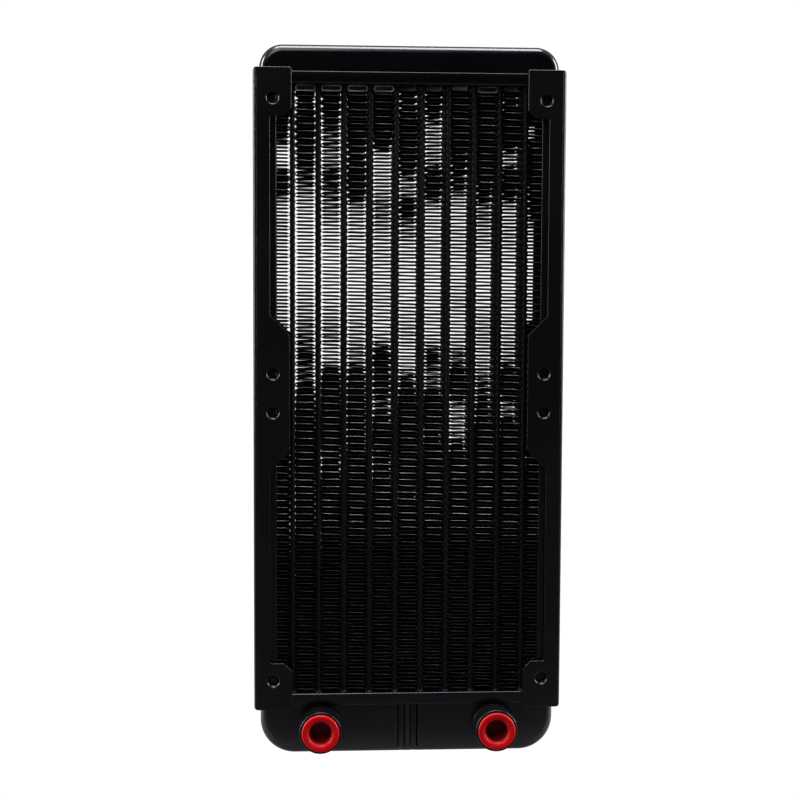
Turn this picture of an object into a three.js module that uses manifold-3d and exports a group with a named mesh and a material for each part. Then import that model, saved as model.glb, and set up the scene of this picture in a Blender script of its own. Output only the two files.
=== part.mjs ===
// Liquid cooling radiator for two 120 mm fans in a row: a brazed aluminium core of flat tubes
// and folded fins between two tanks, two folded mounting rails, and two threaded ports with
// plastic dust plugs.
//
// Millimetres, +Z up. The radiator stands on its bottom tank, and the origin is the middle of
// that tank's flat base. X runs across the width, and the ports point along -Y.

import * as THREE from 'three';
import { mergeVertices } from 'three/addons/utils/BufferGeometryUtils.js';
import Module from 'manifold-3d';

const wasm = await Module();
wasm.setup();

// ---- Driving dimensions ----

const WIDTH = 120; // over the two rails
const DEPTH = 27; // over the rails' front and back faces
const HEIGHT = 275; // over the two tanks
const CORE_MID = 142; // height of the middle of the fan hole pattern
const SHEET = 1; // thickness of rails, side plates, headers and tanks
const GAP = 0.05; // clearance between pieces that are brazed together

const FAN_HOLE_SQUARE = 105; // hole spacing of one 120 mm fan
const FAN_HOLE_STEP = 15; // from one fan's holes to the next fan's
const HOLE_RADIUS = 1.4; // tapped for M3
const DIMPLE_RADIUS = 2.55; // countersunk mouth of a fan hole
const DIMPLE_DEPTH = 0.8;
const COLLAR_RADIUS = 2.25; // drawn collar behind a fan hole, which holds the thread
const COLLAR_END = 11.35; // distance of the collar's end from the middle plane

const RAIL_LENGTH = 248;
const RAIL_BEND = 1.2; // outside radius of the rail's folds
const RAIL_CORNER = 1.3; // rounding of the rail's end corners
const RAIL_FLANGE_EDGE = 53.5; // inner edge of the narrow flange, from the middle
const TAB_EDGE = 45.3; // inner edge of the corner tabs, which carry the outer fan holes
const CENTRE_TAB_EDGE = 46; // inner edge of the middle tab, which carries the inner ones
const CENTRE_TAB = 22.4; // half length of the middle tab
const CORNER_TAB = 105.5; // where the corner tabs begin, from the middle
const TAB_CHAMFER = 3;

const TUBE_COUNT = 10;
const TUBE_PITCH = 10;
const TUBE_THICKNESS = 2;
const TUBE_WALL = 0.3;
const TUBE_LENGTH = 246;
const CORE_DEPTH = 20;

const FIN_LEG_PITCH = 5.5; // each leg stands for four thin legs of the real folded strip
const FIN_THICKNESS = 0.4;

const HEADER_FACE = 117.9; // distance of a header's fin side from the core's middle
const HEADER_RIM = 4.7; // height of the header's upturned rim, plate included
const HEADER_HALF_WIDTH = 58.7;
const HEADER_HALF_DEPTH = 12.4;
const HEADER_CORNER = 3.4;

const TOP_CORNER = 9; // rounding of the top tank's two corners, seen from the front
const BOTTOM_CORNER = 13.5; // and of the bottom tank's
const TANK_EDGE = 2.5; // rounding of a tank's other edges

const SIDE_PLATE_FLANGE = 2.9; // width of the side plate's flanges over the last fins

const BEAD_OFFSET = 2.4; // middle of each pressed bead from the middle of the tank
const BEAD_RADIUS = 1.3;
const BEAD_DEPTH = 0.8;
const BEAD_WALL = 0.8; // what is left of the sheet behind a bead
const BEAD_END = 3; // height of a bead's lower end
const PARTITION_THICKNESS = 1.5;

const PORT_X = 34.3;
const PORT_Z = 10.6;
const BOSS_RADIUS = 8.2;
const WELD_RADIUS = 8.7; // weld bead around the boss, against the tank
const BOSS_LENGTH = 9.2; // in front of the tank's face
const BOSS_BORE = 5.72; // minor radius of a G1/4 thread
const BOSS_SPIGOT = 6.9; // part of the boss that passes through the tank's wall
const SPIGOT_LENGTH = 1.8;
const SEAT_RADIUS = 7.7; // recess for the plug's flange in the boss's face
const SEAT_DEPTH = 0.5;
const PLUG_FLANGE = 7.25;
const PLUG_STEM = 5.5;
const PLUG_HOLLOW = 4.2;

const BLACK_SHEET = { color: 0x0e0e11, roughness: 0.42, metalness: 0.35 };
const BLACK_CORE = { color: 0x0a0a0c, roughness: 0.5, metalness: 0.35 };
const BARE_SHEET = { color: 0xb9bbbd, roughness: 0.45, metalness: 1 };
const RED_PLASTIC = { color: 0xc4121a, roughness: 0.4, metalness: 0 };

// ---- Sizes that follow from them ----

const HALF_WIDTH = WIDTH / 2;
const HALF_DEPTH = DEPTH / 2;
const HALF_CORE = CORE_DEPTH / 2;
const FIN_WIDTH = TUBE_PITCH - TUBE_THICKNESS;
const CORE_HALF_WIDTH = (TUBE_COUNT * TUBE_PITCH + FIN_WIDTH) / 2;
const HEADER_PLATE = HEADER_FACE + SHEET; // tank side of the header plate
const TANK_HALF_WIDTH = HEADER_HALF_WIDTH - SHEET - GAP;
const TANK_HALF_DEPTH = HEADER_HALF_DEPTH - SHEET - GAP;
const FAN_HOLE_HEIGHTS = [
  -FAN_HOLE_SQUARE - FAN_HOLE_STEP / 2,
  -FAN_HOLE_STEP / 2,
  FAN_HOLE_STEP / 2,
  FAN_HOLE_SQUARE + FAN_HOLE_STEP / 2,
];

// ---- Solids ----

// Turns a closed geometry into a solid, with its faces pointing out.
function solidFrom(geometry) {
  const bare = geometry.clone();
  bare.deleteAttribute('normal');
  bare.deleteAttribute('uv');
  const merged = mergeVertices(bare, 1e-4);
  const corners = merged.index.array;
  const places = merged.attributes.position;
  const faces = [];
  const [a, b, c] = [new THREE.Vector3(), new THREE.Vector3(), new THREE.Vector3()];
  let volume = 0;
  for (let i = 0; i < corners.length; i += 3) {
    const face = [corners[i], corners[i + 1], corners[i + 2]];
    if (new Set(face).size < 3) {
      continue;
    }
    a.fromBufferAttribute(places, face[0]);
    b.fromBufferAttribute(places, face[1]);
    c.fromBufferAttribute(places, face[2]);
    volume += a.dot(b.cross(c));
    faces.push(face);
  }
  const outward = volume > 0 ? faces : faces.map((face) => face.reverse());
  return new wasm.Manifold(new wasm.Mesh({
    numProp: 3,
    vertProperties: new Float32Array(places.array),
    triVerts: new Uint32Array(outward.flat()),
  }));
}

function geometryFrom(solid) {
  const { vertProperties, triVerts } = solid.getMesh();
  const geometry = new THREE.BufferGeometry();
  geometry.setAttribute('position', new THREE.BufferAttribute(vertProperties, 3));
  geometry.setIndex(new THREE.BufferAttribute(triVerts, 1));
  geometry.computeVertexNormals();
  return geometry;
}

// A box between two corners.
function box(low, high) {
  const size = high.map((value, i) => value - low[i]);
  const geometry = new THREE.BoxGeometry(...size);
  geometry.translate(...low.map((value, i) => value + size[i] / 2));
  return solidFrom(geometry);
}

// An outline in the XY plane, extruded along Z.
function extrudeZ(shape, zLow, zHigh, curveSegments = 2) {
  const geometry = new THREE.ExtrudeGeometry(shape, {
    depth: zHigh - zLow,
    bevelEnabled: false,
    curveSegments,
  });
  geometry.translate(0, 0, zLow);
  return solidFrom(geometry);
}

// An outline in the XZ plane, extruded along Y. A bevel rounds the front and back edges.
function extrudeY(shape, yLow, yHigh, bevel = 0) {
  const geometry = new THREE.ExtrudeGeometry(shape, {
    depth: yHigh - yLow - 2 * bevel,
    bevelEnabled: bevel > 0,
    bevelThickness: bevel,
    bevelSize: bevel,
    bevelOffset: -bevel,
    bevelSegments: 3,
    curveSegments: 5,
  });
  geometry.rotateX(Math.PI / 2);
  geometry.translate(0, yHigh - bevel, 0);
  return solidFrom(geometry);
}

// A profile of [radius, distance] points turned about an axis that runs along -Y from origin.
function turnedAlongY(profile, segments, origin) {
  const points = profile.map(([radius, distance]) => new THREE.Vector2(radius, distance));
  const geometry = new THREE.LatheGeometry(points, segments);
  geometry.rotateX(Math.PI);
  geometry.translate(...origin);
  return solidFrom(geometry);
}

function polygon(points) {
  return new THREE.Shape(points.map(([x, y]) => new THREE.Vector2(x, y)));
}

// A rectangle centred on the origin, with all four corners rounded.
function roundedRectangle(halfWidth, halfHeight, radius) {
  const shape = new THREE.Shape();
  shape.moveTo(halfWidth - radius, -halfHeight);
  shape.absarc(halfWidth - radius, -halfHeight + radius, radius, -Math.PI / 2, 0);
  shape.absarc(halfWidth - radius, halfHeight - radius, radius, 0, Math.PI / 2);
  shape.absarc(-halfWidth + radius, halfHeight - radius, radius, Math.PI / 2, Math.PI);
  shape.absarc(-halfWidth + radius, -halfHeight + radius, radius, Math.PI, 1.5 * Math.PI);
  shape.closePath();
  return shape;
}

// ---- Core ----

function tube(x) {
  const wallLine = roundedRectangle(TUBE_THICKNESS / 2, HALF_CORE, TUBE_THICKNESS / 2 - 0.001);
  const inner = TUBE_THICKNESS / 2 - TUBE_WALL;
  wallLine.holes.push(roundedRectangle(inner, HALF_CORE - TUBE_WALL, inner - 0.001));
  const half = TUBE_LENGTH / 2;
  return extrudeZ(wallLine, CORE_MID - half, CORE_MID + half).translate(x, 0, 0);
}

// A strip of fin sheet, as wide as the space between two tubes, folded zigzag along its height.
function finPack() {
  const legs = Math.floor((2 * (HEADER_FACE - GAP)) / FIN_LEG_PITCH);
  const slantedSheet = (FIN_THICKNESS * Math.hypot(FIN_WIDTH, FIN_LEG_PITCH)) / FIN_LEG_PITCH;
  const swing = (FIN_WIDTH - slantedSheet) / 2 - GAP;
  const strip = new THREE.BoxGeometry(slantedSheet, CORE_DEPTH, legs * FIN_LEG_PITCH, 1, 1, legs);
  const places = strip.attributes.position;
  for (let i = 0; i < places.count; i += 1) {
    const fold = Math.round(places.getZ(i) / FIN_LEG_PITCH + legs / 2);
    places.setX(i, places.getX(i) + (fold % 2 ? swing : -swing));
  }
  strip.translate(0, 0, CORE_MID);
  return solidFrom(strip);
}

// A channel that closes the core's side, open towards the core. side is -1 or 1.
function sidePlate(side) {
  const inner = CORE_HALF_WIDTH + GAP;
  const outer = inner + SHEET;
  const lip = inner - SIDE_PLATE_FLANGE;
  const face = HALF_CORE + 2 * GAP;
  const section = polygon([
    [side * outer, -face - SHEET],
    [side * outer, face + SHEET],
    [side * lip, face + SHEET],
    [side * lip, face],
    [side * inner, face],
    [side * inner, -face],
    [side * lip, -face],
    [side * lip, -face - SHEET],
  ]);
  const reach = HEADER_FACE - GAP;
  return extrudeZ(section, CORE_MID - reach, CORE_MID + reach);
}

// A header is a shallow pan, with a slot for each tube and a rim around the tank's mouth.
// end is 1 for the top and -1 for the bottom.
function header(end) {
  const level = (distance) => CORE_MID + end * distance;
  const slab = (shape, from, to, curveSegments) => {
    const [low, high] = [level(from), level(to)].sort((a, b) => a - b);
    return extrudeZ(shape, low, high, curveSegments);
  };
  const outline = roundedRectangle(HEADER_HALF_WIDTH, HEADER_HALF_DEPTH, HEADER_CORNER);
  const pocket = roundedRectangle(HEADER_HALF_WIDTH - SHEET, HEADER_HALF_DEPTH - SHEET, TANK_EDGE - 0.3);
  let pan = slab(outline, HEADER_FACE, HEADER_FACE + HEADER_RIM, 4);
  pan = pan.subtract(slab(pocket, HEADER_PLATE, HEADER_FACE + HEADER_RIM + 1, 3));
  const slot = roundedRectangle(TUBE_THICKNESS / 2 + GAP, HALF_CORE + GAP, TUBE_THICKNESS / 2);
  const slotCutter = slab(slot, HEADER_FACE - 1, HEADER_PLATE + 1);
  for (const x of tubePlaces()) {
    pan = pan.subtract(slotCutter.translate(x, 0, 0));
  }
  return pan;
}

function tubePlaces() {
  return Array.from({ length: TUBE_COUNT }, (_, i) => (i - (TUBE_COUNT - 1) / 2) * TUBE_PITCH);
}

function finPlaces() {
  return Array.from({ length: TUBE_COUNT + 1 }, (_, i) => (i - TUBE_COUNT / 2) * TUBE_PITCH);
}

// ---- Tanks ----

// A block with the tank's rounding, inset all round from its outside.
function tankBlock(mouthZ, endZ, corner, inset) {
  const end = Math.sign(endZ - mouthZ);
  const halfWidth = TANK_HALF_WIDTH - inset;
  const halfDepth = TANK_HALF_DEPTH - inset;
  const radius = corner - inset;
  const closed = endZ - end * inset;
  const open = mouthZ - end * 2 * TANK_EDGE;
  const shape = new THREE.Shape();
  shape.moveTo(-halfWidth, open);
  shape.lineTo(-halfWidth, closed - end * radius);
  shape.absarc(-halfWidth + radius, closed - end * radius, radius, Math.PI, end * Math.PI / 2, end > 0);
  shape.absarc(halfWidth - radius, closed - end * radius, radius, end * Math.PI / 2, 0, end > 0);
  shape.lineTo(halfWidth, open);
  shape.closePath();
  return extrudeY(shape, -halfDepth, halfDepth, TANK_EDGE - inset);
}

// A deep drawn cup, open towards the core.
function tankShell(mouthZ, endZ, corner) {
  const end = Math.sign(endZ - mouthZ);
  const beyond = [mouthZ, mouthZ - end * 20].sort((a, b) => a - b);
  const trim = box([-WIDTH, -DEPTH, beyond[0]], [WIDTH, DEPTH, beyond[1]]);
  const inside = tankBlock(mouthZ, endZ, corner, SHEET);
  return tankBlock(mouthZ, endZ, corner, 0).subtract(inside).subtract(trim);
}

function topTank() {
  return tankShell(CORE_MID + HEADER_PLATE + GAP, HEIGHT, TOP_CORNER);
}

// A round bar with domed ends, standing on the tank's front (side -1) or back (side 1) wall.
function beadBar(x, side, radius) {
  const low = BEAD_END + BEAD_RADIUS;
  const high = CORE_MID - HEADER_FACE;
  const geometry = new THREE.CapsuleGeometry(radius, high - low, 2, 10);
  geometry.rotateX(Math.PI / 2);
  geometry.translate(x, side * (TANK_HALF_DEPTH + BEAD_RADIUS - BEAD_DEPTH), (low + high) / 2);
  return solidFrom(geometry);
}

// The bottom tank has two port holes, and pairs of pressed beads that grip the partition plate.
function bottomTank() {
  const mouth = CORE_MID - HEADER_PLATE - GAP;
  const beads = [-1, 1].flatMap((side) => [-BEAD_OFFSET, BEAD_OFFSET].map((x) => [x, side]));
  const inside = box([-WIDTH, -TANK_HALF_DEPTH, 0], [WIDTH, TANK_HALF_DEPTH, mouth]);
  let tank = tankShell(mouth, 0, BOTTOM_CORNER);
  for (const [x, side] of beads) {
    const back = beadBar(x, side, BEAD_RADIUS + BEAD_WALL).intersect(inside);
    tank = tank.add(back);
  }
  for (const [x, side] of beads) {
    tank = tank.subtract(beadBar(x, side, BEAD_RADIUS));
  }
  const hole = [[0, -5], [BOSS_SPIGOT + GAP, -5], [BOSS_SPIGOT + GAP, 5], [0, 5]];
  for (const side of [-1, 1]) {
    tank = tank.subtract(turnedAlongY(hole, 24, [side * PORT_X, -TANK_HALF_DEPTH, PORT_Z]));
  }
  return tank;
}

// Divides the bottom tank, so that coolant goes up one half of the core and down the other.
function partitionPlate() {
  const halfDepth = TANK_HALF_DEPTH - SHEET - GAP;
  const low = SHEET + GAP;
  const high = CORE_MID - HEADER_PLATE - GAP;
  const cut = TANK_EDGE - SHEET;
  const shape = polygon([
    [-halfDepth + cut, low],
    [halfDepth - cut, low],
    [halfDepth, low + cut],
    [halfDepth, high],
    [-halfDepth, high],
    [-halfDepth, low + cut],
  ]);
  const plate = extrudeY(shape, -PARTITION_THICKNESS / 2, PARTITION_THICKNESS / 2);
  return plate.rotate([0, 0, 90]);
}

// ---- Rails ----

// The rail's outline from the front, with its narrow flange, corner tabs and middle tab.
function railOutline(side) {
  const half = RAIL_LENGTH / 2;
  const slope = RAIL_FLANGE_EDGE - CENTRE_TAB_EDGE;
  const chamfered = TAB_EDGE + TAB_CHAMFER;
  const inner = [
    [TAB_EDGE, half],
    [TAB_EDGE, CORNER_TAB + TAB_CHAMFER],
    [chamfered, CORNER_TAB],
    [RAIL_FLANGE_EDGE, CORNER_TAB],
    [RAIL_FLANGE_EDGE, CENTRE_TAB + slope],
    [CENTRE_TAB_EDGE, CENTRE_TAB],
  ];
  const mirrored = inner.map(([x, z]) => [x, -z]).reverse();
  const outer = [-half, half].flatMap((z) => {
    const centre = Math.sign(z) * (half - RAIL_CORNER);
    const arc = [0, 1, 2, 3].map((step) => {
      const angle = (step / 3) * (Math.PI / 2);
      const x = HALF_WIDTH - RAIL_CORNER + RAIL_CORNER * Math.cos(angle);
      return [x, centre + Math.sign(z) * RAIL_CORNER * Math.sin(angle)];
    });
    return z < 0 ? arc.reverse() : arc;
  });
  const points = [...inner, ...mirrored, ...outer];
  return polygon(points.map(([x, z]) => [side * x, CORE_MID + z]));
}

// The rail's section from above: a channel with rounded folds, open towards the core.
function railSection(side) {
  const folds = [-1, 1].flatMap((face) => {
    const arc = [0, 1, 2, 3].map((step) => {
      const angle = (step / 3) * (Math.PI / 2);
      const x = HALF_WIDTH - RAIL_BEND + RAIL_BEND * Math.sin(angle);
      return [x, face * (HALF_DEPTH - RAIL_BEND + RAIL_BEND * Math.cos(angle))];
    });
    return face > 0 ? arc.reverse() : arc;
  });
  const points = [
    [TAB_EDGE - 1, -HALF_DEPTH],
    ...folds,
    [TAB_EDGE - 1, HALF_DEPTH],
    [TAB_EDGE - 1, HALF_DEPTH - SHEET],
    [HALF_WIDTH - SHEET, HALF_DEPTH - SHEET],
    [HALF_WIDTH - SHEET, -HALF_DEPTH + SHEET],
    [TAB_EDGE - 1, -HALF_DEPTH + SHEET],
  ];
  return polygon(points.map(([x, y]) => [side * x, y]));
}

// A fan hole's countersunk mouth and bore, or the drawn collar behind it.
const HOLE_PROFILE = [
  [0, 1],
  [DIMPLE_RADIUS, 1],
  [DIMPLE_RADIUS, 0],
  [HOLE_RADIUS, -DIMPLE_DEPTH],
  [HOLE_RADIUS, -4],
  [0, -4],
];
const COLLAR_PROFILE = [
  [0, -SHEET / 2],
  [COLLAR_RADIUS, -SHEET / 2],
  [COLLAR_RADIUS, COLLAR_END - HALF_DEPTH],
  [0, COLLAR_END - HALF_DEPTH],
];

function rail(side) {
  const half = RAIL_LENGTH / 2;
  const channel = extrudeZ(railSection(side), CORE_MID - half - 1, CORE_MID + half + 1);
  let body = channel.intersect(extrudeY(railOutline(side), -DEPTH, DEPTH));
  const x = side * FAN_HOLE_SQUARE / 2;
  for (const z of FAN_HOLE_HEIGHTS) {
    const front = [x, -HALF_DEPTH, CORE_MID + z];
    const collar = turnedAlongY(COLLAR_PROFILE, 12, front);
    const hole = turnedAlongY(HOLE_PROFILE, 12, front);
    body = body.add(collar).add(collar.mirror([0, 1, 0]));
    body = body.subtract(hole).subtract(hole.mirror([0, 1, 0]));
  }
  return body;
}

// ---- Ports ----

const PORT_SEGMENTS = 24;

function portBoss(side) {
  const seat = BOSS_LENGTH - SEAT_DEPTH;
  const profile = [
    [BOSS_BORE, -SPIGOT_LENGTH],
    [BOSS_SPIGOT, -SPIGOT_LENGTH],
    [BOSS_SPIGOT, GAP],
    [WELD_RADIUS, GAP],
    [WELD_RADIUS, 0.7],
    [BOSS_RADIUS, 1.3],
    [BOSS_RADIUS, BOSS_LENGTH - 0.15],
    [BOSS_RADIUS - 0.15, BOSS_LENGTH],
    [SEAT_RADIUS, BOSS_LENGTH],
    [SEAT_RADIUS, seat],
    [BOSS_BORE + 0.6, seat],
    [BOSS_BORE, seat - 0.6],
    [BOSS_BORE, -SPIGOT_LENGTH],
  ];
  return turnedAlongY(profile, PORT_SEGMENTS, [side * PORT_X, -TANK_HALF_DEPTH, PORT_Z]);
}

function portPlug(side) {
  const seat = BOSS_LENGTH - SEAT_DEPTH + GAP;
  const front = seat + 1.65;
  const tip = 1;
  const floor = 2.2;
  const profile = [
    [0, tip],
    [PLUG_STEM - 0.5, tip],
    [PLUG_STEM, tip + 0.5],
    [PLUG_STEM, seat],
    [PLUG_FLANGE, seat],
    [PLUG_FLANGE, front - 0.4],
    [PLUG_FLANGE - 0.4, front],
    [PLUG_HOLLOW + 0.4, front],
    [PLUG_HOLLOW, front - 0.4],
    [PLUG_HOLLOW, floor],
    [0, floor],
  ];
  return turnedAlongY(profile, PORT_SEGMENTS, [side * PORT_X, -TANK_HALF_DEPTH, PORT_Z]);
}

// ---- Assembly ----

const radiator = new THREE.Group();

function addPiece(name, solid, look) {
  const mesh = new THREE.Mesh(geometryFrom(solid), new THREE.MeshStandardMaterial(look));
  mesh.name = name;
  radiator.add(mesh);
}

const number = (i) => String(i + 1).padStart(2, '0');
const SIDES = [['left', -1], ['right', 1]];

addPiece('top_tank', topTank(), BLACK_SHEET);
addPiece('bottom_tank', bottomTank(), BLACK_SHEET);
addPiece('partition_plate', partitionPlate(), BARE_SHEET);
addPiece('top_header', header(1), BLACK_SHEET);
addPiece('bottom_header', header(-1), BLACK_SHEET);
tubePlaces().forEach((x, i) => addPiece(`tube_${number(i)}`, tube(x), BLACK_CORE));
const fins = finPack();
finPlaces().forEach((x, i) => addPiece(`fin_pack_${number(i)}`, fins.translate(x, 0, 0), BLACK_CORE));
for (const [name, side] of SIDES) {
  addPiece(`side_plate_${name}`, sidePlate(side), BLACK_SHEET);
  addPiece(`rail_${name}`, rail(side), BLACK_SHEET);
  addPiece(`port_boss_${name}`, portBoss(side), BLACK_SHEET);
  addPiece(`port_plug_${name}`, portPlug(side), RED_PLASTIC);
}

export default radiator;
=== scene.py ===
"""A liquid cooling radiator for two 120 mm fans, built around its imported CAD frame.

Metres, +Z up, the ports towards -Y. Lengths named here are in millimetres and pass through MM.
"""

import math
import random

import bmesh
import bpy
from mathutils import Matrix, Vector


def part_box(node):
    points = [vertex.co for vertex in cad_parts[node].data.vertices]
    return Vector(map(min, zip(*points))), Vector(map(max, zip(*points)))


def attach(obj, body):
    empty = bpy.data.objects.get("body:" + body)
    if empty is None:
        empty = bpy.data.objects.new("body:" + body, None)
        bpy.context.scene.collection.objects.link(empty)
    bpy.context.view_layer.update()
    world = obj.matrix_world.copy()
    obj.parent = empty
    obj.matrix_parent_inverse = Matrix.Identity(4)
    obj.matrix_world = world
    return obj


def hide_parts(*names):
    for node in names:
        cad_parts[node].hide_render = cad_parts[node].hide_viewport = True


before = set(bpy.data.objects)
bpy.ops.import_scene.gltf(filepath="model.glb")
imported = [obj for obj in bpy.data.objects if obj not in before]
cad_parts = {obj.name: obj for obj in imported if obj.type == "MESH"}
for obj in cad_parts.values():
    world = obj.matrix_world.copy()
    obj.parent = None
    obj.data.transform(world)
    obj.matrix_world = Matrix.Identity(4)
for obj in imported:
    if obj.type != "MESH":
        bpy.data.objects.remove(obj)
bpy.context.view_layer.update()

MM = 0.001
ROOT = "radiator"
SIDES = (("left", -1), ("right", 1))

# ---- Sizes in millimetres that a CAD box doesn't give ----

SHEET = 1.0
EDGE_BEVEL = 0.25
NEARLY_ROUND = 0.999  # share of a half width that its two corners are rounded by

TUBE_COUNT = 10
TUBE_HALF_THICKNESS = 1.0
TUBE_WALL = 0.3
TUBE_CORNER_STEPS = 7
SLOT_GAP = 0.06  # clearance of a tube in its slot in the header
BRAZE = 0.8  # size of the fillet of filler around a tube
BRAZE_LIFT = 0.02  # how far the fillet stands clear of the tube

SIDE_PLATE_FOLD = 0.9
SIDE_PLATE_INNER_FOLD = 0.2
HEADER_CORNER = 3.4
HEADER_INNER_FOLD = 0.35
HEADER_BENDS = {"top": (1.1, 0.2), "bottom": (0.5, 0.4)}  # outer fold, and rounding of the rim

RAIL_BEND = 1.2
RAIL_CORNER = 1.3
FLANGE_EDGE = 53.5
TAB_EDGE = 45.3
CENTRE_TAB_EDGE = 46.0
CENTRE_TAB = 22.4
CORNER_TAB = 105.5
TAB_CHAMFER = 3.0

FAN_HOLE_X = 52.5
FAN_HOLE_HEIGHTS = (-112.5, -7.5, 7.5, 112.5)
HOLE_SEGMENTS = 40
DIMPLE_PROFILE = (  # radius and depth, from the flange's face into the threaded collar
    (2.75, 0.0),
    (2.62, 0.04),
    (2.44, 0.17),
    (2.22, 0.4),
    (1.98, 0.7),
    (1.76, 0.98),
    (1.59, 1.2),
    (1.54, 1.5),
    (1.54, 2.0),
)

TOP_CORNER = 9.0
BOTTOM_CORNER = 13.5
TANK_EDGE = 3.2
TANK_STEPS = 16  # steps round each of a tank's roundings

BEAD_X = 2.4  # middle of each bead from the middle of the tank
BEAD_FLOOR = 0.75  # half width of its flat floor
BEAD_HALF_WIDTH = 1.9
BEAD_DEPTH = 1.05
BEAD_END = 1.6  # height of its lower end
BEAD_LIP = 0.28  # height of the rim that the press raises beside it
BEAD_LIP_WIDTH = 0.36
BEAD_COLUMNS = 60
BEAD_ROWS = 24
BEAD_ROW = 0.2  # height of each row
TANK_WALL_Y = 8.0  # the front and back walls lie further out than this

FIN_COUNT = 11
FIN_PITCH = 1.375
FIN_SHEET = 0.11
FIN_REACH = 117.7
SCRAPE_AND_GLINT_LEVELS = (  # height, and how far the cut edges are scraped there and lit with a painted glint
    (0, 0.0),
    (82, 0.0),
    (94, 1.0),
    (146, 1.0),
    (158, 0.1),
    (206, 0.1),
    (218, 0.8),
    (275, 1.0),
)
END_BOX = 2.3  # height of the closed box that ends some of the strips under the top header
END_BOX_WALL = 0.42
END_BOX_CORNER = 0.8
END_BOX_GAP = 0.12  # to the tube on each side
BOXED_ENDS = (2, 3, 4, 5, 9)
FOLD_DRIFT = 0.18
FOLD_DRIFT_STEP = 9
FOLD_JITTER = 0.05
FOLD_SWELL = (0.42, 0.48)  # half height of a fold's outside, in pitches
FOLD_REACH = (0.4, 0.55)  # how far a fold's bend reaches in from the tube
SPLAY = 0.016  # how fast the legs' lean grows away from the level where they lie flat
SPLAY_LEVEL = 187.0
LEAN_WANDER = 0.95
LEAN_WANDER_STEP = 8
LEAN_LIMIT = 0.55
LEAN_JITTER = 0.07
CALM = 0.08  # share of the wander that is left where the legs were undisturbed
STRAIGHT_REACH = 10.0  # half length of the part where the legs were left undisturbed
MOVED_REACH = 50.0  # where they are moved the most
TILT = 0.012  # how far each strip's legs drop towards the right, from how the strips were laid in
LOUVRES = 12
LOUVRE_WIDTH = 1.35
LOUVRE_RISE = 0.8
LOUVRE_MARGIN = 0.4
LOUVRE_TAPER = 0.8
LOUVRE_END = 0.15  # how far a louvre is still open where it runs out
BURR_MARGIN = 0.6
BURR_TAPER = 1.2
BURR_SWELL = 0.11
BURR_END_SWELL = 0.04
BURR_BACK = 0.14  # how far a burr reaches back from the leg's cut edge
BURR_PROUD = 0.02
STRIP_SEED = 4355

BOSS_BORE = 5.72
BOSS_SPIGOT = 6.9
BOSS_RADIUS = 8.2
BOSS_SEAT_RADIUS = 7.7
BOSS_SEAT_DEPTH = 0.5
PORT_HOLE = 6.95
PORT_HOLE_SEGMENTS = 64
TURNED_SEGMENTS = 96
THREAD_PITCH = 1.337
THREAD_DEPTH = 0.86
THREAD_MARGINS = (0.4, 1.3)  # from the thread to the boss's back and to its face
THREAD_FADE = 1.2
THREAD_RINGS = 12  # rings of vertices to one turn

PLUG_FLANGE = 1.65
PLUG_STEM = 5.2
PLUG_RIB = 5.5
PLUG_RIBS = 3
PLUG_RIB_STEP = 2.1
PLUG_LIP = (6.65, 0.6)  # where the flange's outer rounding is centred, and its radius
PLUG_MOUTH = (  # radius and depth, from the flange's face into the hollow
    (6.0, 0.0),
    (5.5, 0.05),
    (5.1, 0.2),
    (4.75, 0.46),
    (4.48, 0.84),
    (4.25, 1.3),
    (4.08, 1.9),
    (4.0, 2.6),
)
PAINTED_SHADE_START = 0.7  # depth in the plug where the painted shade in its hollow begins
HOLLOW_SHADE = 3.2  # depth over which the painted shade deepens


def mm(*values):
    return Vector(value * MM for value in values)


def box_mm(node):
    """A CAD node's lowest and highest corners, in millimetres."""
    low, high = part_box(node)
    return low / MM, high / MM


def middle_x(low, high):
    return (low.x + high.x) / 2


RAIL_LOW, RAIL_HIGH = box_mm("rail_right")
CORE_MID = (RAIL_LOW.z + RAIL_HIGH.z) / 2
RAIL_HALF = (RAIL_HIGH.z - RAIL_LOW.z) / 2

# ---- Meshes ----


def smooth_step(low, high, value):
    t = min(1.0, max(0.0, (value - low) / (high - low)))
    return t * t * (3 - 2 * t)


def filleted(corners, steps=6):
    """A closed outline from (x, y, radius) corners, each rounded to its radius."""
    outline = []
    for i, (x, y, radius) in enumerate(corners):
        here = Vector((x, y))
        if not radius:
            outline.append(here)
            continue
        back = (Vector(corners[i - 1][:2]) - here).normalized()
        on = (Vector(corners[(i + 1) % len(corners)][:2]) - here).normalized()
        half = back.angle(on) / 2
        centre = here + (back + on).normalized() * (radius / math.sin(half))
        start = here + back * (radius / math.tan(half)) - centre
        turn = start.angle_signed(here + on * (radius / math.tan(half)) - centre)
        for step in range(steps + 1):
            outline.append(centre + Matrix.Rotation(-turn * step / steps, 2) @ start)
    return outline


def rounded_rectangle(middle, half_width, near, far, radius, steps):
    """A rectangle's outline with rounded corners, from its right near corner to its left near one."""
    right, left = middle + half_width, middle - half_width
    corners = [(right, near, radius), (right, far, radius), (left, far, radius), (left, near, radius)]
    return filleted(corners, steps)


def round_ended(middle, half_width, reach):
    """The outline of a flat tube seen along its length."""
    radius = half_width * NEARLY_ROUND
    return rounded_rectangle(middle, half_width, -reach, reach, radius, TUBE_CORNER_STEPS)


def loop_of(bm, outline, place):
    """Closed edge loop through an outline; place turns its (u, v) into a point in millimetres."""
    verts = [bm.verts.new(mm(*place(u, v))) for u, v in outline]
    for a, b in zip(verts, verts[1:] + verts[:1]):
        bm.edges.new((a, b))
    return verts


def bridge(bm, rings, closed=True):
    """Quads between neighbouring rings of vertices."""
    for lower, upper in zip(rings, rings[1:]):
        last = len(lower) if closed else len(lower) - 1
        for i in range(last):
            j = (i + 1) % len(lower)
            bm.faces.new((lower[i], lower[j], upper[j], upper[i]))


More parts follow.
